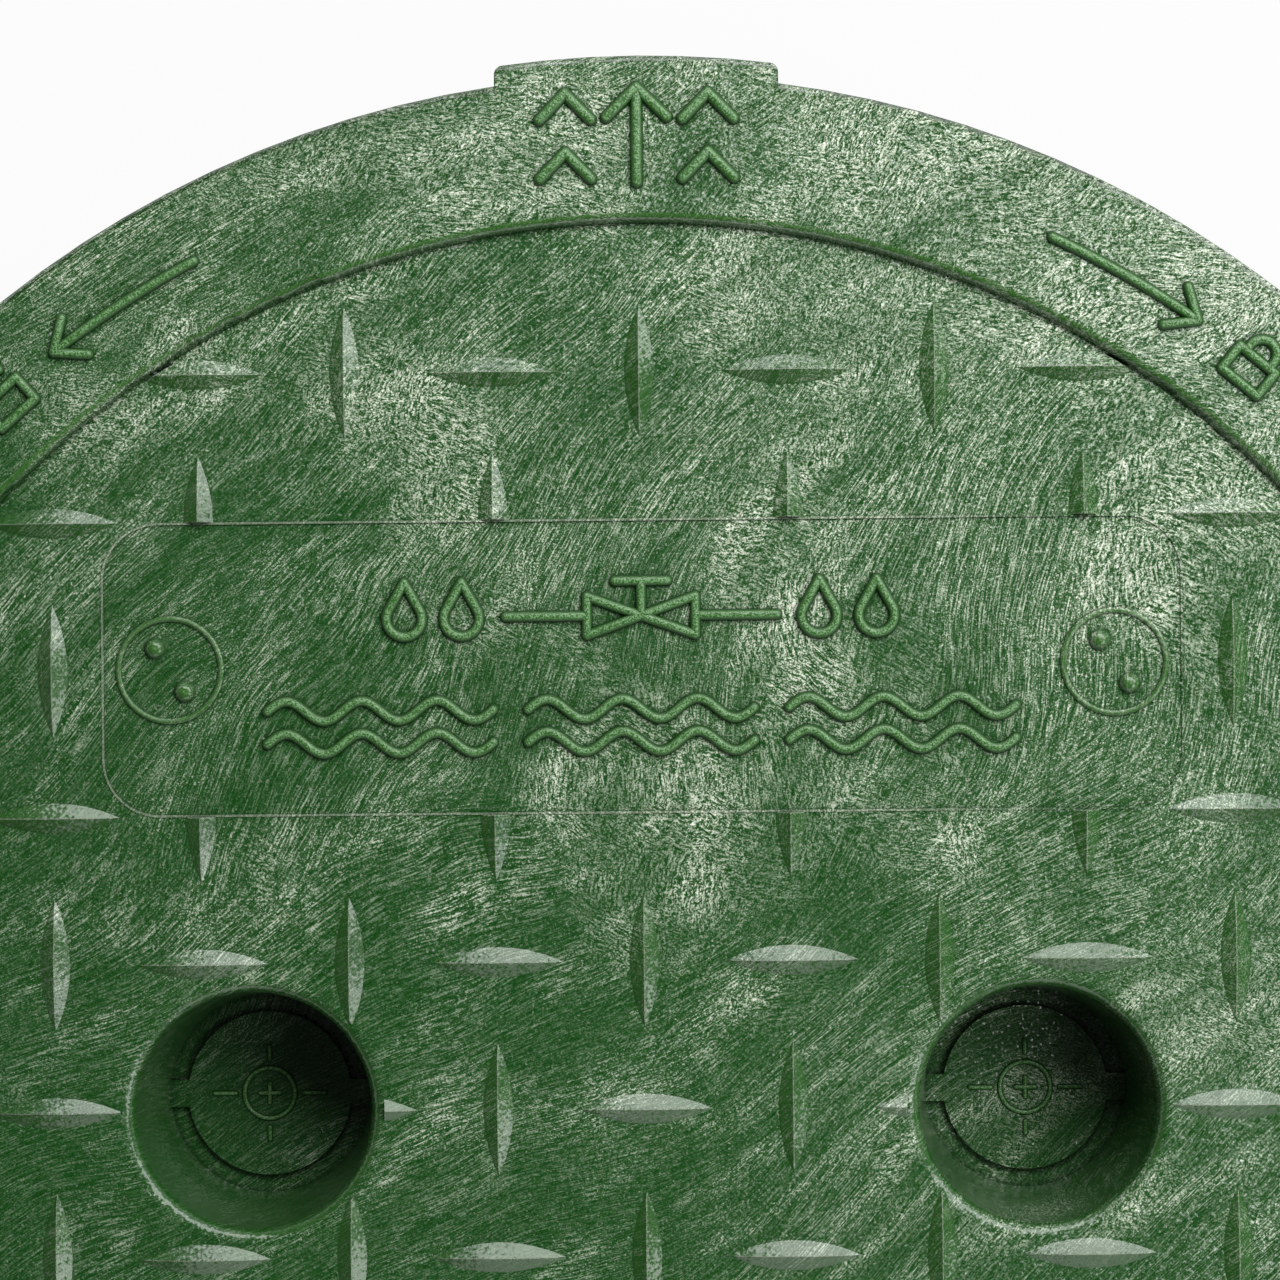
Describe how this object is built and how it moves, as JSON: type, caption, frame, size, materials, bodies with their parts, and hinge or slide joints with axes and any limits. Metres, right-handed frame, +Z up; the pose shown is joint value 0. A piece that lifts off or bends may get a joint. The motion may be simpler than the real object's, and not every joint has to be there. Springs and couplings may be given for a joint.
{
  "type": "valve box cover",
  "caption": "Round twist-lock cover for an irrigation valve box, with a bar tread, a raised rim band, a lift tab, a smooth panel and knock-out wells.",
  "frame": {"origin": "on the cover's axis, in the plane of the locking skirt's foot", "axes": "+Z up along the cover's axis, +Y towards the lift tab, +X to the right of the tab as seen from above"},
  "size_m": [0.2666, 0.2691, 0.0269],
  "materials": {
    "green_plastic": "moulded green polyethylene, satin, with fine pale flow streaks"
  },
  "bodies": {
    "root": {"cover": "green_plastic"}
  },
  "joints": []
}
